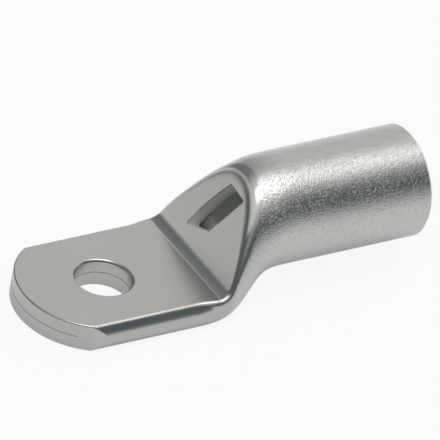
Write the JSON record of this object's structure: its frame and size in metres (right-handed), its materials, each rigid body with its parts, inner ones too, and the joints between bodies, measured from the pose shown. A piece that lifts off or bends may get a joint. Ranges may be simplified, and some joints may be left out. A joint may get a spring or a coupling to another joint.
{
  "type": "tubular cable lug",
  "caption": "Tin-plated copper tube lug: round crimp barrel, pressed flat palm with a stud hole, and a ramp between them with a slanted sight slot.",
  "frame": {"origin": "centre of the stud hole on the palm's contact face", "axes": "+X along the barrel towards its mouth, +Z out of the palm on the barrel's side"},
  "size_m": [0.0626, 0.0222, 0.0186],
  "materials": {
    "tinned_copper": "satin tin plating over copper, finely pitted on the tube, smoother where pressed"
  },
  "bodies": {
    "root": {"cable_lug": "tinned_copper"}
  },
  "joints": []
}
